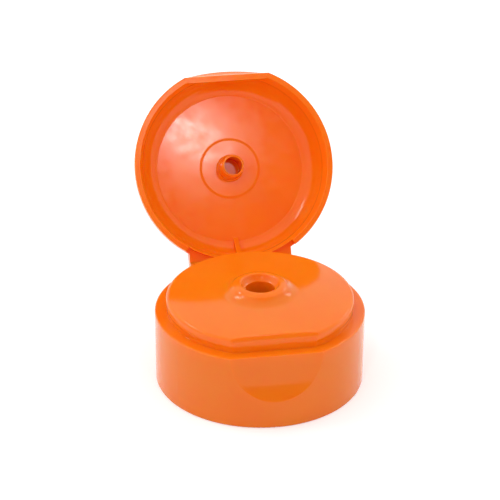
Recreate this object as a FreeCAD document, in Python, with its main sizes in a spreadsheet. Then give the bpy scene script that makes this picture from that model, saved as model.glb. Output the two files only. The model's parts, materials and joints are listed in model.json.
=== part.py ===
"""Flip top closure with a double film hinge, moulded in one shot in polypropylene.

Millimetres, +Z up.  The origin is the centre of the skirt's foot, on the axis of the neck bore.
The thumb recess faces -Y and the hinge faces +Y.  The closure is drawn open, as it stands when
the lid has been flipped back, and each moulded member that turns is a sub-part of its own:

  cap_body     skirt, ledge, deck with its nozzle, screw collar, sealing ring and ribs
  hinge_strap  the flat strap between the two film lines
  lid          domed lid with the hollow plug that closes the nozzle
"""
import FreeCAD
import Part
import Sketcher
import math
import os

doc = FreeCAD.newDocument("FlipTopCap")

# ---------------------------------------------------------------- driving dimensions

SIZES = [
    # skirt and ledge
    ("skirt_radius", 21.0, "outer radius of the skirt at the ledge"),
    ("foot_draft", 0.1, "how much narrower the skirt is at its foot"),
    ("foot_round", 0.4, "rounding of the foot's outer edge"),
    ("ledge_height", 15.2, "height of the ledge on which the lid closes"),
    ("ledge_round", 0.25, "rounding of the ledge's outer edge"),
    ("skirt_wall", 1.2, "wall of the skirt"),
    ("panel_wall", 1.3, "thickness of the ledge and of the deck"),
    # neck side
    ("neck_radius", 14.0, "bore of the screw collar, for a 28 mm neck"),
    ("collar_wall", 1.3, "wall of the screw collar"),
    ("neck_top_inset", 0.8, "how much narrower the bore is above the thread"),
    ("thread_length", 13.4, "length of the collar's bore that holds the thread"),
    ("seal_inset", 2.25, "gap round the ring that seals in the neck's mouth"),
    ("seal_wall", 0.8, "wall of the sealing ring"),
    ("seal_drop", 3.2, "length of the sealing ring below the deck"),
    ("rib_wall", 0.9, "thickness of the ribs between collar and skirt"),
    ("rib_low", 5.0, "height at which the ribs start"),
    ("rib_count", 6, "number of ribs"),
    # deck
    ("ledge_width", 2.25, "from the skirt's face in to the crest of the snap bead"),
    ("bead_rise", 0.15, "how far the snap bead stands out of the deck's wall"),
    ("bead_low", 1.4, "height of the bead's crest above the ledge"),
    ("bead_slope", 0.5, "height of the slope under that crest"),
    ("deck_height", 3.1, "height of the deck's edge above the ledge"),
    ("deck_round", 0.7, "rounding of the deck's edge"),
    ("dome_radius", 127.0, "spherical crown of the deck"),
    ("dome_rise", 1.0, "from the deck's edge up to the nozzle's foot"),
    # nozzle
    ("orifice_radius", 2.9, "bore of the orifice"),
    ("orifice_length", 3.15, "length of that bore"),
    ("orifice_wall", 1.1, "wall of the orifice tube"),
    ("funnel_width", 0.9, "from the bore out to the funnel's lip"),
    ("funnel_drop", 1.05, "depth of the funnel"),
    ("funnel_hollow", 2.6, "radius of the funnel's hollow wall"),
    ("crest_width", 0.32, "from the funnel's lip out to the nozzle's crest"),
    ("crest_drop", 0.2, "height of the crest above that lip"),
    ("crest_round", 0.45, "rounding from the crest into the funnel"),
    ("shoulder_width", 1.3, "from the crest out to the end of its shoulder"),
    ("shoulder_drop", 0.45, "height of the crest above that end"),
    ("nozzle_shoulder", 2.2, "radius of the shoulder"),
    ("flank_width", 2.8, "from the shoulder out to the nozzle's foot"),
    ("flank_drop", 1.25, "height of the shoulder's end above the foot"),
    ("nozzle_hollow", 3.4, "radius of the hollow flank"),
    # thumb recess
    ("recess_inset", 2.12, "depth of the recess in the skirt at the ledge"),
    ("recess_radius", 22.0, "radius of the recess in the body"),
    ("flat_inset", 2.05, "flat front of the deck, in from the bead's crest"),
    ("flat_lean", 0.8, "how far the top of that flat rolls back"),
    ("flat_drop", 0.95, "height over which it rolls back, below the deck's edge"),
    ("flat_over", 0.5, "the same above the deck's edge"),
    ("flat_round", 2.2, "radius with which it rolls back"),
    ("lid_flat_inset", 1.99, "flat front of the lid's rim, in from its round outside"),
    ("lid_recess_radius", 8.5, "radius of the thumb recess in the lid"),
    ("lid_wall", 1.2, "wall of the lid at its front"),
    ("front_angle", 120.0, "angle over which the front walls are trimmed to the round"),
    # hinge
    ("film_inset", 1.35, "both film lines inside the skirt's face, closed"),
    ("film_drop", 1.4, "lower film line below the ledge"),
    ("strap_length", 3.0, "distance between the two film lines"),
    ("film_half", 0.15, "half the film's thickness"),
    ("film_reach", 0.25, "length of film on each side of its line"),
    ("strap_out", 0.85, "outer face of the strap from the film line"),
    ("strap_half", 10.7, "half the width of the strap and of the hinge pads"),
    ("strap_gap", 0.3, "gap beside the strap and behind it"),
    ("groove_body", 62.0, "slope of the body's pad, degrees from level"),
    ("groove_strap", 50.0, "slope of the strap's ends"),
    ("groove_lid", 30.0, "slope of the lid's pad"),
    ("strap_turn", 81.4, "turn of the strap from closed to flipped back"),
    ("lid_turn", 40.7, "turn of the lid on the strap, likewise"),
    ("pad_length", 7.4, "length of the body's pad below the lower film line"),
    ("pad_face", 4.0, "length of its flat face"),
    ("notch_wall_drop", 3.4, "depth of the wall behind the strap, below the film line"),
    # lid
    ("rim_gap", 0.1, "gap between the ledge and the closed lid's rim"),
    ("rim_inset", 0.18, "rim's outside in from the skirt's face"),
    ("rim_round", 0.2, "rounding of the rim's outer edge"),
    ("rim_face", 1.12, "width of the rim's flat face"),
    ("side_draft", 0.12, "how much narrower the lid is where it starts to curve in"),
    ("side_height", 2.2, "height there"),
    ("side_wall", 1.7, "wall of the lid there"),
    ("shoulder_radius", 6.4, "radius of the lid's shoulder"),
    ("crown_rise", 0.3, "height of the lid's crown above its shoulder"),
    ("top_wall", 1.6, "thickness of the lid's top"),
    ("inside_width", 3.35, "from the inside of the wall in to the floor's crease"),
    ("inside_shoulder", 4.9, "radius of the inside shoulder"),
    ("crease_width", 0.25, "width of the step at the floor's crease"),
    ("crease_drop", 0.15, "height of that step"),
    ("plug_clearance", 0.44, "gap round the plug in the orifice"),
    ("plug_wall", 0.6, "wall of the hollow plug"),
    ("plug_draft", 0.07, "how much wider the plug is at its root"),
    ("plug_root_round", 0.3, "rounding of the plug's root"),
    ("plug_lead", 0.13, "how much narrower the plug is at its tip"),
    ("plug_seat", 3.4, "height of the plug's seat above the rim"),
    ("plug_tip", 1.5, "height of its tip above the rim"),
    ("plug_tip_round", 0.25, "rounding of the tip's outer edge"),
    ("plug_chamfer", 0.12, "chamfer of the bore at the tip"),
    ("step_width", 3.45, "width of the raised round step about the plug"),
    ("step_slope", 0.5, "width of that step's slope"),
    ("step_rise", 0.12, "height of that step"),
    ("rim_notch_side", 0.8, "how far the rim is cut back beside the strap"),
    ("rim_notch_wall", 1.0, "how far it is cut in behind the strap"),
    ("rim_notch_drop", 0.4, "how far the wall left there stops short of the rim"),
    ("lid_pad_height", 2.1, "height of the lid's pad at its face"),
    ("lid_pad_slope", 1.5, "how much higher the pad is where it meets the lid"),
    ("gusset_wall", 1.0, "thickness of the gusset behind the hinge"),
    ("gusset_run", 1.05, "how far the gusset runs in over the floor"),
    ("gusset_lip", 0.45, "width of the gusset's foot"),
    ("gusset_low", 2.9, "height of that foot above the rim"),
]

sheet = doc.addObject("Spreadsheet::Sheet", "Sizes")
for row, (alias, number, meaning) in enumerate(SIZES, start=1):
    sheet.set("A%d" % row, meaning)
    sheet.set("B%d" % row, str(number))
    sheet.setAlias("B%d" % row, alias)
doc.recompute()


class Size:
    """A size as its present value and as the expression that gives it from the sheet."""

    def __init__(self, value, text):
        self.value = float(value)
        self.text = text

    def __add__(self, other):
        other = as_size(other)
        return Size(self.value + other.value, "(%s + %s)" % (self.text, other.text))

    def __sub__(self, other):
        other = as_size(other)
        return Size(self.value - other.value, "(%s - %s)" % (self.text, other.text))

    def __mul__(self, other):
        other = as_size(other)
        return Size(self.value * other.value, "(%s * %s)" % (self.text, other.text))

    def __truediv__(self, other):
        other = as_size(other)
        return Size(self.value / other.value, "(%s / %s)" % (self.text, other.text))

    def __neg__(self):
        return Size(-self.value, "(-1 * %s)" % self.text)


def as_size(number):
    """A Size from a Size or from a plain number."""
    if isinstance(number, Size):
        return number
    return Size(number, repr(float(number)))


def size(alias):
    """The Size held by a cell of the sheet."""
    return Size(sheet.get(alias), "Sizes.%s" % alias)


def root(square):
    """Square root of a Size."""
    return Size(math.sqrt(square.value), "sqrt(%s)" % square.text)


def rise(angle):
    """Rise per unit of run of a slope given in degrees."""
    return Size(math.tan(math.radians(angle.value)), "tan(%s * 1deg)" % angle.text)


def sine(angle):
    """Sine of an angle given in degrees."""
    return Size(math.sin(math.radians(angle.value)), "sin(%s * 1deg)" % angle.text)


def cosine(angle):
    """Cosine of an angle given in degrees."""
    return Size(math.cos(math.radians(angle.value)), "cos(%s * 1deg)" % angle.text)


def arcsine(ratio):
    """Angle in degrees whose sine is given."""
    return Size(math.degrees(math.asin(ratio.value)), "asin(%s)" % ratio.text)


def half_chord(radius, distance):
    """Half the chord that a circle has at a distance from its centre."""
    return root(radius * radius - distance * distance)


# ---------------------------------------------------------------- drawing helpers

def plane(body, role):
    """One of the body's own origin planes, by its role."""
    for feature in body.Origin.OriginFeatures:
        if feature.Role == role:
            return feature
    raise RuntimeError("no plane " + role)


def arc_between(start, end, radius, bulge):
    """Arc of the given radius from start to end; bulge +1 puts it left of the chord, -1 right."""
    chord = end.sub(start)
    half = chord.Length / 2.0
    left = FreeCAD.Vector(-chord.y, chord.x, 0).normalize()
    back = math.sqrt(max(radius * radius - half * half, 0.0))
    centre = start.add(end).multiply(0.5).sub(left * (bulge * back))
    crown = centre.add(left * (bulge * radius))
    return Part.Arc(start, crown, end)


def fix_vertex(sketch, index, point):
    """Hold the start of edge `index` at the point's two Sizes, bound to the sheet."""
    target = FreeCAD.Vector(point[0].value, point[1].value, 0)
    near = sketch.getPoint(index, 1).sub(target).Length
    far = sketch.getPoint(index, 2).sub(target).Length
    vertex = 1 if near <= far else 2
    for kind, place_on_axis in (("DistanceX", point[0]), ("DistanceY", point[1])):
        number = sketch.addConstraint(
            Sketcher.Constraint(kind, -1, 1, index, vertex, place_on_axis.value))
        sketch.setExpression("Constraints[%d]" % number, place_on_axis.text)
    return vertex


def outline(body, name, role, corners):
    """A closed sketch on an origin plane.

    Each corner is (x, y), or (x, y, radius, bulge) where the edge that leaves it is an arc.
    """
    sketch = body.newObject("Sketcher::SketchObject", name)
    sketch.AttachmentSupport = [(plane(body, role), "")]
    sketch.MapMode = "FlatFace"
    corners = [tuple(as_size(v) for v in c[:2]) + tuple(c[2:]) for c in corners]
    count = len(corners)
    spots = [FreeCAD.Vector(c[0].value, c[1].value, 0) for c in corners]
    for i, corner in enumerate(corners):
        start, end = spots[i], spots[(i + 1) % count]
        if len(corner) == 4:
            edge = arc_between(start, end, as_size(corner[2]).value, corner[3])
        else:
            edge = Part.LineSegment(start, end)
        sketch.addGeometry(edge, False)
    first = [fix_vertex(sketch, i, corners[i]) for i in range(count)]
    for i in range(count):
        after = (i + 1) % count
        sketch.addConstraint(
            Sketcher.Constraint("Coincident", i, 3 - first[i], after, first[after]))
        if len(corners[i]) == 4:
            radius = as_size(corners[i][2])
            number = sketch.addConstraint(Sketcher.Constraint("Radius", i, radius.value))
            sketch.setExpression("Constraints[%d]" % number, radius.text)
    return sketch


def volume(body):
    """Present volume of the body."""
    doc.recompute()
    return body.Shape.Volume


def check_change(body, before, sign, name):
    """Stop if a feature left the solid as it was, or changed it the wrong way."""
    after = volume(body)
    if not (after - before) * sign > 1e-3:
        raise RuntimeError("%s did not change the solid: %.4f to %.4f" % (name, before, after))
    return after


def turned(body, kind, name, sketch, angle=None):
    """Revolution or Groove of a sketch about the upright axis."""
    before = volume(body) if kind == "Groove" or body.Tip is not None else 0.0
    feature = body.newObject("PartDesign::" + kind, name)
    feature.Profile = sketch
    feature.ReferenceAxis = (sketch, ["V_Axis"])
    if angle is None:
        feature.Angle = 360.0
    else:
        feature.setExpression("Angle", angle.text)
        feature.Midplane = True
    sketch.Visibility = False
    check_change(body, before, -1 if kind == "Groove" else 1, name)
    return feature


def straight(body, kind, name, sketch, width):
    """Pad or Pocket of a side view, to both sides of the middle plane."""
    before = volume(body) if body.Tip is not None else 0.0
    feature = body.newObject("PartDesign::" + kind, name)
    feature.Profile = sketch
    feature.Midplane = True
    feature.setExpression("Length", width.text)
    sketch.Visibility = False
    check_change(body, before, -1 if kind == "Pocket" else 1, name)
    return feature


def new_body(label):
    """A body whose label is the name of its file."""
    body = doc.addObject("PartDesign::Body", label)
    body.Label = label
    return body


# ---------------------------------------------------------------- sizes used below

SKIRT = size("skirt_radius")
FOOT = SKIRT - size("foot_draft")
LEDGE = size("ledge_height")
WALL = size("skirt_wall")
PANEL = size("panel_wall")
NECK = size("neck_radius")
COLLAR = NECK + size("collar_wall")
BEAD = SKIRT - size("ledge_width")
EDGE = LEDGE + size("deck_height")
ORIFICE = size("orifice_radius")
LIP = ORIFICE + size("funnel_width")
CREST = LIP + size("crest_width")
SHOULDER = CREST + size("shoulder_width")
NOZZLE = SHOULDER + size("flank_width")
NOZZLE_FOOT = EDGE + size("dome_rise")
SHOULDER_END = NOZZLE_FOOT + size("flank_drop")
CREST_TOP = SHOULDER_END + size("shoulder_drop")
LIP_TOP = CREST_TOP - size("crest_drop")
ORIFICE_TOP = LIP_TOP - size("funnel_drop")
RECESS = SKIRT - size("recess_inset")
DECK_FLAT = BEAD - size("flat_inset")
FILM_LINE = SKIRT - size("film_inset")
FILM_LOW = LEDGE - size("film_drop")
FILM_OUT = FILM_LINE + size("film_half")
FILM_REACH = size("film_reach")
STRAP = size("strap_length")
STRAP_WIDTH = size("strap_half") * 2
STRAP_ROOM = STRAP_WIDTH + size("strap_gap") * 2
NOTCH_FACE = FILM_LINE - size("strap_gap")
PAD_OUT = FILM_LINE + size("strap_out")
RIM = LEDGE + size("rim_gap")
RIM_OUT = SKIRT - size("rim_inset")
SIDE = RIM_OUT - size("side_draft")
SIDE_HEIGHT = size("side_height")
LID_SHOULDER = size("shoulder_radius")
TOP = SIDE_HEIGHT + LID_SHOULDER
INSIDE = SIDE - size("side_wall")
FLOOR = TOP - size("top_wall")
CREASE = INSIDE - size("inside_width")
LID_FLAT = RIM_OUT - size("lid_flat_inset")
LID_PAD_LOW = FILM_LOW + STRAP + FILM_REACH - RIM
PLUG = ORIFICE - size("plug_clearance")
CLEAR = SKIRT * 0.25


# ---------------------------------------------------------------- cap body

def deck_profile():
    """Half section of the outside, from the foot's centre up to the funnel's floor."""
    foot_round = size("foot_round")
    ledge_round = size("ledge_round")
    deck_round = size("deck_round")
    deck_wall = BEAD - size("bead_rise")
    bead_low = LEDGE + size("bead_low")
    return [
        (0, 0),
        (FOOT - foot_round, 0, foot_round, -1),
        (FOOT, foot_round),
        (SKIRT, LEDGE - ledge_round, ledge_round, -1),
        (SKIRT - ledge_round, LEDGE),
        (deck_wall, LEDGE),
        (deck_wall, bead_low - size("bead_slope")),
        (BEAD, bead_low),
        (BEAD, EDGE - deck_round, deck_round, -1),
        (BEAD - deck_round, EDGE, size("dome_radius"), -1),
        (NOZZLE, NOZZLE_FOOT, size("nozzle_hollow"), 1),
        (SHOULDER, SHOULDER_END, size("nozzle_shoulder"), -1),
        (CREST, CREST_TOP, size("crest_round"), -1),
        (LIP, LIP_TOP, size("funnel_hollow"), 1),
        (ORIFICE, ORIFICE_TOP),
        (0, ORIFICE_TOP),
    ]


def neck_profile():
    """Half section of the collar's bore, the sealing ring's room and the orifice tube."""
    neck_top = NECK - size("neck_top_inset")
    seal = neck_top - size("seal_inset")
    seal_in = seal - size("seal_wall")
    ceiling = EDGE - PANEL
    seal_end = ceiling - size("seal_drop")
    tube_out = ORIFICE + size("orifice_wall")
    tube_end = ORIFICE_TOP - size("orifice_length")
    boss_top = SHOULDER_END - PANEL * 1.25
    thread_top = size("thread_length")
    return [
        (0, 0),
        (NECK, 0),
        (NECK, thread_top),
        (neck_top, thread_top + size("neck_top_inset") * 0.5),
        (neck_top, ceiling),
        (seal, ceiling),
        (seal, seal_end),
        (seal_in, seal_end),
        (seal_in, ceiling),
        (NOZZLE, NOZZLE_FOOT - PANEL),
        (SHOULDER, boss_top),
        (tube_out, boss_top),
        (tube_out, tube_end),
        (ORIFICE, tube_end),
        (ORIFICE, ORIFICE_TOP),
        (0, ORIFICE_TOP),
    ]


def gap_profile():
    """Half section of the gap between the screw collar and the skirt."""
    return [
        (COLLAR, 0),
        (FOOT - WALL, 0),
        (SKIRT - WALL, LEDGE - PANEL),
        (COLLAR, LEDGE - PANEL),
    ]


def recess_y(face, radius, down):
    """Place of a recess's wall at a depth below the ledge; the wall is upright at the ledge."""
    return -(face + radius - half_chord(radius, down))


def run_out(radius, inset):
    """Depth at which such a wall has come out by the inset."""
    return half_chord(radius, radius - inset)


def build_cap_body():
    """Skirt, ledge, deck, nozzle, collar and the fixed half of the hinge."""
    body = new_body("cap_body")
    turned(body, "Revolution", "outside",
           outline(body, "outside_view", "XZ_Plane", deck_profile()))
    add_body_pad(body)
    turned(body, "Groove", "neck", outline(body, "neck_view", "XZ_Plane", neck_profile()))
    turned(body, "Groove", "gap", outline(body, "gap_view", "XZ_Plane", gap_profile()))
    add_ribs(body)
    add_recess_wall(body)
    add_notch_wall(body)
    cut_recess(body)
    cut_body_notch(body)
    return body


def add_body_pad(body):
    """Flat pad that carries the lower film line, wider than the round skirt at its ends."""
    inner = half_chord(SKIRT - WALL, size("strap_half"))
    tip = FILM_LOW - FILM_REACH
    straight(body, "Pad", "hinge_pad", outline(body, "hinge_pad_view", "YZ_Plane", [
        (inner, FILM_LOW - size("pad_length")),
        (PAD_OUT, FILM_LOW - size("pad_face")),
        (PAD_OUT, tip - (PAD_OUT - FILM_OUT) * rise(size("groove_body"))),
        (FILM_OUT, tip),
        (inner, tip),
    ]), STRAP_WIDTH)


def add_ribs(body):
    """Thin upright ribs that tie the collar to the skirt."""
    inner = COLLAR - size("collar_wall") * 0.5
    outer = SKIRT - WALL * 0.5
    low = size("rib_low")
    high = LEDGE - PANEL * 0.5
    sketch = outline(body, "rib_view", "XZ_Plane",
                     [(inner, low), (outer, low), (outer, high), (inner, high)])
    before = volume(body)
    rib = straight(body, "Pad", "rib", sketch, size("rib_wall"))
    pattern = body.newObject("PartDesign::PolarPattern", "ribs")
    pattern.Originals = [rib]
    pattern.Axis = (sketch, ["V_Axis"])
    pattern.Angle = 360.0
    pattern.setExpression("Occurrences", "Sizes.rib_count")
    body.Tip = pattern
    one = rib.Shape.Volume - before
    if volume(body) - before < one * 1.5:
        raise RuntimeError("the ribs were not patterned")


def add_recess_wall(body):
    """Material behind the thumb recess, inside the skirt and trimmed to its round face."""
    face = RECESS - WALL
    radius = size("recess_radius") + WALL
    top = PANEL * 0.5
    low = run_out(radius, SKIRT - WALL * 0.5 - face)
    front = -(SKIRT + WALL)
    straight(body, "Pad", "recess_wall", outline(body, "recess_wall_view", "YZ_Plane", [
        (recess_y(face, radius, top), LEDGE - top, radius, 1),
        (recess_y(face, radius, low), LEDGE - low),
        (front, LEDGE - low),
        (front, LEDGE - top),
    ]), half_chord(SKIRT - WALL, face) * 2 + WALL)
    foot_round = size("foot_round")
    ledge_round = size("ledge_round")
    turned(body, "Groove", "front_trim", outline(body, "front_trim_view", "YZ_Plane", [
        (-FOOT, foot_round),
        (-(FOOT + CLEAR), foot_round),
        (-(FOOT + CLEAR), LEDGE - ledge_round),
        (-SKIRT, LEDGE - ledge_round),
    ]), size("front_angle"))


def add_notch_wall(body):
    """Material behind the strap's notch, inside the skirt."""
    back = NOTCH_FACE - WALL
    low = FILM_LOW - size("notch_wall_drop")
    high = LEDGE - PANEL * 0.5
    straight(body, "Pad", "notch_wall", outline(body, "notch_wall_view", "YZ_Plane", [
        (back, low),
        (NOTCH_FACE, low - WALL),
        (NOTCH_FACE, high),
        (back, high),
    ]), half_chord(SKIRT - WALL, back) * 2 + WALL)


def cut_recess(body):
    """Thumb recess in the skirt, and the flat front of the deck above it."""
    radius = size("recess_radius")
    low = run_out(radius, size("recess_inset")) * 1.15
    far = -(SKIRT + CLEAR)
    over = EDGE + size("flat_over")
    straight(body, "Pocket", "recess", outline(body, "recess_view", "YZ_Plane", [
        (-RECESS, LEDGE, radius, 1),
        (recess_y(RECESS, radius, low), LEDGE - low),
        (far, LEDGE - low),
        (far, over),
        (-(DECK_FLAT - size("flat_lean")), over, size("flat_round"), -1),
        (-DECK_FLAT, EDGE - size("flat_drop")),
        (-DECK_FLAT, LEDGE),
    ]), SKIRT * 2)


def cut_body_notch(body):
    """Room for the strap behind the deck, and the sloped top of the pad."""
    tip = FILM_LOW - FILM_REACH
    far = SKIRT + CLEAR
    straight(body, "Pocket", "hinge_notch", outline(body, "hinge_notch_view", "YZ_Plane", [
        (NOTCH_FACE, EDGE),
        (NOTCH_FACE, tip),
        (FILM_OUT, tip),
        (far, tip - (far - FILM_OUT) * rise(size("groove_body"))),
        (far, EDGE),
    ]), STRAP_ROOM)


# ---------------------------------------------------------------- hinge strap

def build_strap():
    """Flat strap; its own frame has the lower film line as X and the strap along +Z."""
    body = new_body("hinge_strap")
    film_half = size("film_half")
    out = size("strap_out")
    bevel = (out - film_half) * rise(size("groove_strap"))
    straight(body, "Pad", "strap", outline(body, "strap_view", "YZ_Plane", [
        (-film_half, FILM_REACH),
        (film_half, FILM_REACH),
        (out, FILM_REACH + bevel),
        (out, STRAP - FILM_REACH - bevel),
        (film_half, STRAP - FILM_REACH),
        (-film_half, STRAP - FILM_REACH),
    ]), STRAP_WIDTH)
    return body


# ---------------------------------------------------------------- lid

def lid_outside():
    """Half section of the lid's outside; the lid's own frame has the rim at z = 0."""
    rim_round = size("rim_round")
    crown = size("crown_rise")
    flat = SIDE - LID_SHOULDER
    return [
        (0, 0),
        (RIM_OUT - rim_round, 0, rim_round, -1),
        (RIM_OUT, rim_round),
        (SIDE, SIDE_HEIGHT, LID_SHOULDER, -1),
        (flat, TOP, (flat * flat + crown * crown) / (crown * 2), -1),
        (0, TOP + crown),
    ]


def lid_inside():
    """Half section of the lid's hollow, with a fine step at the floor's crease."""
    return [
        (0, 0),
        (RIM_OUT - size("rim_face"), 0),
        (INSIDE, SIDE_HEIGHT, size("inside_shoulder"), -1),
        (CREASE, FLOOR - size("crease_drop")),
        (CREASE - size("crease_width"), FLOOR),
        (0, FLOOR),
    ]


def plug_profile():
    """Half section of the hollow plug and of the low step round it."""
    step = PLUG + size("step_width")
    step_top = FLOOR - size("step_rise")
    sunk = FLOOR + size("top_wall") * 0.2
    root_out = PLUG + size("plug_draft")
    root_round = size("plug_root_round")
    tip = size("plug_tip")
    tip_out = PLUG - size("plug_lead")
    tip_round = size("plug_tip_round")
    bore = PLUG - size("plug_wall")
    chamfer = size("plug_chamfer")
    return [
        (bore, sunk),
        (step + size("step_slope"), sunk),
        (step + size("step_slope"), FLOOR),
        (step, step_top),
        (root_out + root_round, step_top, root_round, 1),
        (root_out, step_top - root_round),
        (PLUG, size("plug_seat")),
        (tip_out, tip + tip_round, tip_round, -1),
        (tip_out - tip_round, tip),
        (bore + chamfer, tip),
        (bore, tip + chamfer),
    ]


def build_lid():
    """Domed lid with its plug, thumb recess, hinge pad and gusset."""
    body = new_body("lid")
    turned(body, "Revolution", "outside",
           outline(body, "lid_outside_view", "XZ_Plane", lid_outside()))
    add_lid_pad(body)
    turned(body, "Groove", "hollow",
           outline(body, "lid_inside_view", "XZ_Plane", lid_inside()))
    turned(body, "Revolution", "plug", outline(body, "plug_view", "XZ_Plane", plug_profile()))
    add_front_wall(body)
    cut_lid_recess(body)
    cut_lid_notch(body)
    add_gusset(body)
    return body


def add_lid_pad(body):
    """Pad that carries the upper film line."""
    high = LID_PAD_LOW + size("lid_pad_height")
    straight(body, "Pad", "hinge_pad", outline(body, "lid_pad_view", "YZ_Plane", [
        (CREASE, LID_PAD_LOW),
        (PAD_OUT, LID_PAD_LOW),
        (PAD_OUT, high),
        (CREASE, high + size("lid_pad_slope")),
    ]), STRAP_WIDTH)


def add_front_wall(body):
    """Wall behind the lid's thumb recess, trimmed to the round outside."""
    wall = size("lid_wall")
    face = LID_FLAT - wall
    radius = size("lid_recess_radius") + wall
    high = run_out(radius, (size("lid_flat_inset") + wall) * 0.5)
    front = -(RIM_OUT + wall)
    straight(body, "Pad", "front_wall", outline(body, "front_wall_view", "YZ_Plane", [
        (-face, 0, radius, -1),
        (recess_y(face, radius, high), high),
        (front, high),
        (front, 0),
    ]), half_chord(INSIDE, face) * 2 + wall * 2)
    rim_round = size("rim_round")
    far = -(SIDE + CLEAR)
    flat = -(SIDE - LID_SHOULDER)
    turned(body, "Groove", "front_trim", outline(body, "lid_trim_view", "YZ_Plane", [
        (-RIM_OUT, rim_round),
        (-SIDE, SIDE_HEIGHT, LID_SHOULDER, 1),
        (flat, TOP),
        (flat, TOP + wall),
        (far, TOP + wall),
        (far, rim_round),
    ]), size("front_angle"))


def cut_lid_recess(body):
    """Thumb recess in the lid's front."""
    radius = size("lid_recess_radius")
    high = run_out(radius, size("lid_flat_inset"))
    far = -(SIDE + CLEAR)
    straight(body, "Pocket", "recess", outline(body, "lid_recess_view", "YZ_Plane", [
        (-LID_FLAT, 0, radius, -1),
        (recess_y(LID_FLAT, radius, high), high),
        (far, high),
        (far, 0),
    ]), SIDE * 2)


def cut_lid_notch(body):
    """Room for the strap at the back of the rim, and the sloped foot of the pad."""
    far = SKIRT + CLEAR
    drop = size("rim_notch_drop")
    deep = INSIDE - size("side_wall") * 0.5
    behind = SIDE - size("rim_notch_wall")
    cut_half = (size("strap_half") + size("rim_notch_side")) / RIM_OUT
    turned(body, "Groove", "rim_notch", outline(body, "rim_notch_view", "YZ_Plane", [
        (deep, -drop),
        (far, -drop),
        (far, LID_PAD_LOW),
        (behind, LID_PAD_LOW),
        (behind, drop),
        (deep, drop),
    ]), arcsine(cut_half) * 2)
    straight(body, "Pocket", "strap_room", outline(body, "strap_room_view", "YZ_Plane", [
        (NOTCH_FACE, 0),
        (far, 0),
        (far, LID_PAD_LOW + (far - FILM_OUT) * rise(size("groove_lid"))),
        (FILM_OUT, LID_PAD_LOW),
        (NOTCH_FACE, LID_PAD_LOW),
    ]), STRAP_ROOM)


def add_gusset(body):
    """Gusset that stiffens the lid's back wall in the middle of the hinge."""
    inner = CREASE - size("gusset_run")
    low = size("gusset_low")
    sink = size("side_wall") * 0.2
    straight(body, "Pad", "gusset", outline(body, "gusset_view", "YZ_Plane", [
        (inner, FLOOR + sink),
        (inner, FLOOR),
        (INSIDE - size("gusset_lip"), low),
        (INSIDE + sink, low),
        (INSIDE + sink, low + size("side_wall")),
        (CREASE + sink * 3, FLOOR + sink),
    ]), size("gusset_wall"))


# ---------------------------------------------------------------- placing and writing

def place(body, y, z, turn):
    """Stand a sub-part at (y, z), leaned back about X by a turn in degrees."""
    body.Placement = FreeCAD.Placement(
        FreeCAD.Vector(0, y.value, z.value),
        FreeCAD.Rotation(FreeCAD.Vector(1, 0, 0), -turn.value))
    body.setExpression("Placement.Base.y", y.text)
    body.setExpression("Placement.Base.z", z.text)
    body.setExpression("Placement.Rotation.Angle", "%s * -1deg" % turn.text)


def check_and_write(bodies):
    """Refuse any failed feature or bad solid, then write one file for each sub-part."""
    doc.recompute()
    for item in doc.Objects:
        if "Invalid" in item.State or "Error" in item.State:
            raise RuntimeError("feature failed: " + item.Name)
    for body in bodies:
        shape = body.Shape
        if shape.isNull() or not shape.isValid():
            raise RuntimeError("bad solid: " + body.Label)
        if len(shape.Solids) != 1:
            raise RuntimeError("%s has %d solids" % (body.Label, len(shape.Solids)))
    os.makedirs("parts", exist_ok=True)
    for body in bodies:
        body.Shape.exportStep("parts/%s.step" % body.Label)
        box = body.Shape.BoundBox
        print("%s: %.1f mm3, x %.2f..%.2f, y %.2f..%.2f, z %.2f..%.2f" % (
            body.Label, body.Shape.Volume, box.XMin, box.XMax, box.YMin, box.YMax,
            box.ZMin, box.ZMax))


cap_body = build_cap_body()
strap = build_strap()
lid = build_lid()

turn = size("strap_turn")
both = turn + size("lid_turn")
place(strap, FILM_LINE, FILM_LOW, turn)

# the upper film line where the strap has carried it, and the rim's centre seen from there
upper_y = FILM_LINE + STRAP * sine(turn)
upper_z = FILM_LOW + STRAP * cosine(turn)
rim_down = RIM - FILM_LOW - STRAP
place(lid,
      upper_y - FILM_LINE * cosine(both) + rim_down * sine(both),
      upper_z + FILM_LINE * sine(both) + rim_down * cosine(both),
      both)

check_and_write([cap_body, strap, lid])
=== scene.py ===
"""Looks for a flip top cap, moulded in glossy orange polypropylene and drawn open.

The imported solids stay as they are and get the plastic.  The films of the hinge and the screw
thread are added here.  Lengths are in metres, in the part's own frame: the origin is the centre
of the skirt's foot, the thumb recess faces -Y and the hinge faces +Y.
"""

import json
import math

import bmesh
import bpy
from mathutils import Matrix, Vector


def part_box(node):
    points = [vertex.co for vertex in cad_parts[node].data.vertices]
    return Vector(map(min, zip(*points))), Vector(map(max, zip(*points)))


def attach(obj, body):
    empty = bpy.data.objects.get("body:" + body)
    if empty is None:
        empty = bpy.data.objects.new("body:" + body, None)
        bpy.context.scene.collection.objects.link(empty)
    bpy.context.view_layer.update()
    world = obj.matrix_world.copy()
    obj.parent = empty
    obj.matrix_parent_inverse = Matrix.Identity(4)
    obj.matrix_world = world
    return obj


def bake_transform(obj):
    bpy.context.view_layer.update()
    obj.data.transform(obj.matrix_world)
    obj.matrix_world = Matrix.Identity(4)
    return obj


MM = 0.001

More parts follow.
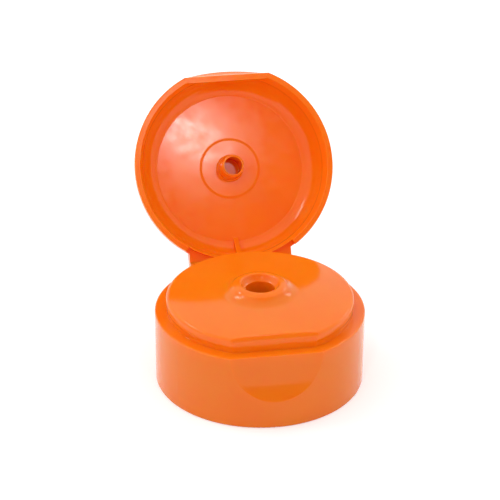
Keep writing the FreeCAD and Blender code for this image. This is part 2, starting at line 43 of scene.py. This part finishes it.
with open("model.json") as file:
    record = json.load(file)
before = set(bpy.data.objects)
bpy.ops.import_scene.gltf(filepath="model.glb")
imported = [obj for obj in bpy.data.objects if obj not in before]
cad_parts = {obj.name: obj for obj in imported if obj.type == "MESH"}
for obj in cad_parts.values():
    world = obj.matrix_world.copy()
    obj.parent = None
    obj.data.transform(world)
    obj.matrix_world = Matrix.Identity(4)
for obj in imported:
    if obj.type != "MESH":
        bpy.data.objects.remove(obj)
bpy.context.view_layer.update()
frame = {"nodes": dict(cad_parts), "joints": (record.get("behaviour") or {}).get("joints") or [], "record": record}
scene = bpy.context.scene
scene.view_settings.view_transform = "Standard"


# ---------------------------------------------------------------- sizes that the record gives

def named(entries, name):
    """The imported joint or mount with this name."""
    for entry in entries:
        if entry["name"] == name:
            return entry
    raise KeyError(name)


LOWER_HINGE = named(frame["joints"], "hinge_lower")
UPPER_HINGE = named(frame["joints"], "hinge_upper")
LOWER_FILM = Vector(LOWER_HINGE["pos_m"])
UPPER_FILM = Vector(UPPER_HINGE["pos_m"])
LOWER_SHUT = math.radians(LOWER_HINGE["range_deg"][0])
UPPER_SHUT = math.radians(UPPER_HINGE["range_deg"][0])
NECK_RADIUS = named(frame["record"]["mounts"], "neck_bore")["dims"]["r_mm"] * MM
STRAP_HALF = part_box("hinge_strap")[1][0]


# ---------------------------------------------------------------- node helpers

def new_material(name):
    """An empty node material and its tree."""
    material = bpy.data.materials.new(name)
    material.use_nodes = True
    tree = material.node_tree
    tree.nodes.clear()
    return material, tree


def noise(tree, coordinates, waves, detail):
    """A noise texture on the given coordinates, in waves per metre."""
    node = tree.nodes.new("ShaderNodeTexNoise")
    node.inputs["Scale"].default_value = waves
    node.inputs["Detail"].default_value = detail
    tree.links.new(coordinates, node.inputs["Vector"])
    return node.outputs["Fac"]


def mapped(tree, value, span, ends, smooth=False):
    """A value taken from the range span to the range ends."""
    node = tree.nodes.new("ShaderNodeMapRange")
    if smooth:
        node.interpolation_type = "SMOOTHSTEP"
    node.inputs["From Min"].default_value = span[0]
    node.inputs["From Max"].default_value = span[1]
    node.inputs["To Min"].default_value = ends[0]
    node.inputs["To Max"].default_value = ends[1]
    tree.links.new(value, node.inputs["Value"])
    return node.outputs["Result"]


def mix_colour(tree, factor, first, second):
    """Blend of two colours by a factor."""
    node = tree.nodes.new("ShaderNodeMix")
    node.data_type = "RGBA"
    node.inputs["A"].default_value = (*first, 1.0)
    node.inputs["B"].default_value = (*second, 1.0)
    tree.links.new(factor, node.inputs["Factor"])
    return node.outputs["Result"]


# ---------------------------------------------------------------- the moulded plastic

ORANGE = (1.0, 0.190, 0.004)
WARM_ORANGE = (1.0, 0.210, 0.006)
REFRACTION = 1.49
SHEEN = 0.32
GLOW_DEPTH = 1.3 * MM
GLOW_REACH = (1.0, 0.45, 0.06)
ROUGHNESS = (0.085, 0.14)
NOISE_SPAN = (0.3, 0.7)
FLOW_WAVES = 90.0
SKIN_WAVES = 420.0
RIPPLE_WAVES = 150.0
RIPPLE_STRENGTH = 0.5
RIPPLE_HEIGHT = 0.02 * MM
EDGE_ROUND = 0.14 * MM
EDGE_SAMPLES = 6


def plastic(name, colour, warmer):
    """Glossy polypropylene that glows where it is thin, with faint flow marks and soft edges."""
    material, tree = new_material(name)
    place = tree.nodes.new("ShaderNodeTexCoord").outputs["Object"]
    shader = tree.nodes.new("ShaderNodeBsdfPrincipled")
    shader.inputs["IOR"].default_value = REFRACTION
    shader.inputs["Specular IOR Level"].default_value = SHEEN
    shader.inputs["Subsurface Weight"].default_value = 1.0
    shader.inputs["Subsurface Scale"].default_value = GLOW_DEPTH
    shader.inputs["Subsurface Radius"].default_value = GLOW_REACH
    flow = mapped(tree, noise(tree, place, FLOW_WAVES, 3.0), NOISE_SPAN, (0.0, 1.0))
    tree.links.new(mix_colour(tree, flow, colour, warmer), shader.inputs["Base Color"])
    skin = mapped(tree, noise(tree, place, SKIN_WAVES, 4.0), NOISE_SPAN, ROUGHNESS)
    tree.links.new(skin, shader.inputs["Roughness"])
    soft_edge = tree.nodes.new("ShaderNodeBevel")
    soft_edge.samples = EDGE_SAMPLES
    soft_edge.inputs["Radius"].default_value = EDGE_ROUND
    relief = tree.nodes.new("ShaderNodeBump")
    relief.inputs["Strength"].default_value = RIPPLE_STRENGTH
    relief.inputs["Distance"].default_value = RIPPLE_HEIGHT
    tree.links.new(soft_edge.outputs["Normal"], relief.inputs["Normal"])
    tree.links.new(noise(tree, place, RIPPLE_WAVES, 1.5), relief.inputs["Height"])
    tree.links.new(relief.outputs["Normal"], shader.inputs["Normal"])
    output = tree.nodes.new("ShaderNodeOutputMaterial")
    tree.links.new(shader.outputs["BSDF"], output.inputs["Surface"])
    return material


def dress(obj, material):
    """Put one material on every slot of an object."""
    obj.data.materials.clear()
    obj.data.materials.append(material)


moulding = plastic("moulding_orange", ORANGE, WARM_ORANGE)
for node in frame["nodes"].values():
    dress(node, moulding)


# ---------------------------------------------------------------- mesh helpers

def mesh_object(name, mesh_builder, material, body=None):
    """A new mesh object from a bmesh that the builder fills."""
    mesh = bpy.data.meshes.new(name)
    shape = bmesh.new()
    mesh_builder(shape)
    bmesh.ops.recalc_face_normals(shape, faces=shape.faces)
    shape.to_mesh(mesh)
    shape.free()
    obj = bpy.data.objects.new(name, mesh)
    scene.collection.objects.link(obj)
    mesh.materials.append(material)
    if body is not None:
        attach(obj, body)
    return obj


def loft(shape, rings):
    """Skin a list of closed rings of equal length, and cap both ends."""
    rows = [[shape.verts.new(point) for point in ring] for ring in rings]
    count = len(rows[0])
    for before, after in zip(rows, rows[1:]):
        for i in range(count):
            j = (i + 1) % count
            shape.faces.new((before[i], before[j], after[j], after[i]))
    shape.faces.new(list(reversed(rows[0])))
    shape.faces.new(rows[-1])


def lean(point, pivot, angle):
    """Turn a point about the hinge's direction -X through a pivot; positive opens the lid."""
    return pivot + Matrix.Rotation(angle, 3, Vector((-1, 0, 0))) @ (point - pivot)


# ---------------------------------------------------------------- films of the hinge

FILM_HALF = 0.15 * MM
FILM_REACH = 0.25 * MM
FILM_BITE = 0.08 * MM
FILM_INSET = 0.02 * MM
FILM_SLIM = 0.98
FILM_STEPS = 12
FILM_CORNERS = ((-1, -1), (1, -1), (1, 1), (-1, 1))


def film(name, line, start_turn, bend):
    """A thin strip that bends about its film line from one member to the next.

    start_turn is how far the first member leans at rest, and bend the angle to the second.
    """
    reach = FILM_REACH + FILM_BITE

    def build(shape):
        rings = []
        for i in range(FILM_STEPS + 1):
            share = i / FILM_STEPS
            ease = share * share * (3 - 2 * share)
            along = -reach + 2 * reach * share
            ring = []
            for x, y in FILM_CORNERS:
                flat = line + Vector((x * (STRAP_HALF - FILM_INSET), y * FILM_HALF * FILM_SLIM,
                                      along))
                ring.append(lean(flat, line, start_turn + bend * ease))
            rings.append(ring)
        loft(shape, rings)

    obj = mesh_object(name, build, moulding)
    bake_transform(obj)


film("film_lower", LOWER_FILM, 0.0, -LOWER_SHUT)
film("film_upper", UPPER_FILM, -LOWER_SHUT, -UPPER_SHUT)


# ---------------------------------------------------------------- screw thread

THREAD_PITCH = 4.233 * MM
THREAD_TURNS = 1.6
THREAD_START = 2.6 * MM
THREAD_HEIGHT = 1.15 * MM
THREAD_LEAST = 0.02 * MM
THREAD_BITE = 0.15 * MM
THREAD_ROOT_HALF = 0.95 * MM
THREAD_CREST_HALF = 0.35 * MM
THREAD_FADES = 12
THREAD_STEPS = 160


def build_thread(shape):
    """Right-handed ridge of trapezoid section inside the collar, tapered at both ends."""
    rings = []
    for i in range(THREAD_STEPS + 1):
        share = i / THREAD_STEPS
        angle = share * THREAD_TURNS * 2 * math.pi
        rise = THREAD_START + angle / (2 * math.pi) * THREAD_PITCH
        fade = min(1.0, share * THREAD_FADES, (1 - share) * THREAD_FADES)
        height = THREAD_HEIGHT * math.sin(fade * math.pi / 2)
        crest = NECK_RADIUS - max(height, THREAD_LEAST)
        root = NECK_RADIUS + THREAD_BITE
        ring = []
        for radius, offset in ((root, -THREAD_ROOT_HALF), (crest, -THREAD_CREST_HALF),
                               (crest, THREAD_CREST_HALF), (root, THREAD_ROOT_HALF)):
            ring.append(Vector((radius * math.cos(angle), radius * math.sin(angle),
                                rise + offset)))
        rings.append(ring)
    loft(shape, rings)


mesh_object("neck_thread", build_thread, moulding, "base")


# ---------------------------------------------------------------- white surroundings and floor

def toward(azimuth, elevation):
    """Unit vector at an azimuth from -Y towards +X and an elevation, both in degrees."""
    az, el = math.radians(azimuth), math.radians(elevation)
    return Vector((math.sin(az) * math.cos(el), -math.cos(az) * math.cos(el), math.sin(el)))


WHITE = (1.0, 1.0, 1.0, 1.0)
LIGHT_LEVEL = 0.86
DARK_ROOM = toward(8, 33)
DARK_ROOM_SPAN = (0.62, 0.93)
DARK_ROOM_LEVEL = 0.12
FLOOR_GREY = (0.8, 0.8, 0.8, 1.0)
FLOOR_GLOW = 0.36
FLOOR_HALF = 3.0
FLOOR_DROP = 0.02 * MM


def seen_not_lit(tree):
    """1 for rays from the camera, in mirrors and through glass; 0 for rays that carry light.

    The second output is 1 for rays from the camera alone.
    """
    path = tree.nodes.new("ShaderNodeLightPath")
    seen = path.outputs["Is Camera Ray"]
    for name in ("Is Glossy Ray", "Is Transmission Ray"):
        either = tree.nodes.new("ShaderNodeMath")
        either.operation = "MAXIMUM"
        tree.links.new(seen, either.inputs[0])
        tree.links.new(path.outputs[name], either.inputs[1])
        seen = either.outputs[0]
    return seen, path.outputs["Is Camera Ray"]


def build_world():
    """White surroundings; a mirror also finds the darker room that lies in front of them."""
    world = bpy.data.worlds.new("studio")
    scene.world = world
    world.use_nodes = True
    tree = world.node_tree
    tree.nodes.clear()
    seen, by_camera = seen_not_lit(tree)
    ray = tree.nodes.new("ShaderNodeTexCoord").outputs["Generated"]
    facing = tree.nodes.new("ShaderNodeVectorMath")
    facing.operation = "DOT_PRODUCT"
    facing.inputs[1].default_value = DARK_ROOM
    tree.links.new(ray, facing.inputs[0])
    room = mapped(tree, facing.outputs["Value"], DARK_ROOM_SPAN, (1.0, DARK_ROOM_LEVEL),
                  smooth=True)
    white = tree.nodes.new("ShaderNodeMath")
    white.operation = "MAXIMUM"
    tree.links.new(room, white.inputs[0])
    tree.links.new(by_camera, white.inputs[1])
    level = tree.nodes.new("ShaderNodeMix")
    level.data_type = "FLOAT"
    level.inputs["A"].default_value = LIGHT_LEVEL
    tree.links.new(white.outputs[0], level.inputs["B"])
    tree.links.new(seen, level.inputs["Factor"])
    background = tree.nodes.new("ShaderNodeBackground")
    background.inputs["Color"].default_value = WHITE
    tree.links.new(level.outputs["Result"], background.inputs["Strength"])
    output = tree.nodes.new("ShaderNodeOutputWorld")
    tree.links.new(background.outputs["Background"], output.inputs["Surface"])


def floor_material():
    """White that looks as bright as the surroundings and keeps a faint shadow."""
    material, tree = new_material("floor_white")
    diffuse = tree.nodes.new("ShaderNodeBsdfDiffuse")
    diffuse.inputs["Color"].default_value = FLOOR_GREY
    glow = tree.nodes.new("ShaderNodeEmission")
    glow.inputs["Color"].default_value = WHITE
    seen, _ = seen_not_lit(tree)
    tree.links.new(mapped(tree, seen, (0.0, 1.0), (0.0, FLOOR_GLOW)), glow.inputs["Strength"])
    both = tree.nodes.new("ShaderNodeAddShader")
    tree.links.new(diffuse.outputs["BSDF"], both.inputs[0])
    tree.links.new(glow.outputs["Emission"], both.inputs[1])
    output = tree.nodes.new("ShaderNodeOutputMaterial")
    tree.links.new(both.outputs["Shader"], output.inputs["Surface"])
    return material


def build_floor():
    """One large square just under the skirt's foot."""
    mesh = bpy.data.meshes.new("floor")
    half = FLOOR_HALF
    mesh.from_pydata([(-half, -half, 0), (half, -half, 0), (half, half, 0), (-half, half, 0)],
                     [], [(0, 1, 2, 3)])
    mesh.materials.append(floor_material())
    floor = bpy.data.objects.new("floor", mesh)
    floor.location.z = -FLOOR_DROP
    scene.collection.objects.link(floor)


# ---------------------------------------------------------------- lamps and camera

def softbox(name, aim, direction, distance, size, radiance):
    """A rectangular lamp seen from aim (mm); radiance is how bright it looks in a mirror."""
    width, height = size
    data = bpy.data.lights.new(name, "AREA")
    data.shape = "RECTANGLE"
    data.size = width
    data.size_y = height
    data.energy = radiance * width * height * math.pi
    lamp = bpy.data.objects.new(name, data)
    away = direction.normalized()
    lamp.location = Vector(aim) * MM + away * distance
    lamp.rotation_euler = away.to_track_quat("Z", "Y").to_euler()
    scene.collection.objects.link(lamp)


def build_lamps():
    """Soft strips to the left and right, and small far windows that show in the lid."""
    middle = (0.0, 18.0, 20.0)
    floor_left = (-9.0, 42.3, 35.3)
    floor_middle = (-3.6, 41.0, 33.5)
    funnel_back = (1.0, 3.3, 20.2)
    softbox("strip_left", middle, toward(-112, 47), 0.6, (0.34, 0.055), 12.0)
    softbox("strip_right", middle, toward(118, 31), 0.6, (0.26, 0.09), 4.0)
    softbox("window_upper", floor_left, Vector((0.13, -0.775, 0.62)), 0.55,
            (0.0125, 0.0145), 60.0)
    softbox("window_lower", floor_middle, Vector((0.14, -0.78, 0.61)), 0.55,
            (0.0130, 0.0075), 60.0)
    softbox("window_funnel", funnel_back, toward(-21, 45), 0.6, (0.03, 0.09), 30.0)


def build_camera():
    """Long lens, half a metre away, slightly to the left of the thumb recess."""
    azimuth = math.radians(9.938)
    elevation = math.radians(28.106)
    roll = math.radians(-0.521)
    distance = 0.5
    middle = (-0.00002, 0.01197, 0.02207)
    level = Vector((math.cos(azimuth), -math.sin(azimuth), 0.0))
    forward = Vector((math.sin(azimuth) * math.cos(elevation),
                      math.cos(azimuth) * math.cos(elevation), -math.sin(elevation)))
    upright = level.cross(forward)
    right = level * math.cos(roll) - upright * math.sin(roll)
    up = level * math.sin(roll) + upright * math.cos(roll)
    data = bpy.data.cameras.new("camera")
    data.sensor_width = 36.0
    data.lens = 177.48
    data.clip_start = 0.01
    data.clip_end = 20.0
    camera = bpy.data.objects.new("camera", data)
    turn = Matrix((right, up, -forward)).transposed().to_4x4()
    place = Vector(middle) - forward * distance
    camera.matrix_world = Matrix.Translation(place) @ turn
    scene.collection.objects.link(camera)
    scene.camera = camera


build_world()
build_floor()
build_lamps()
build_camera()
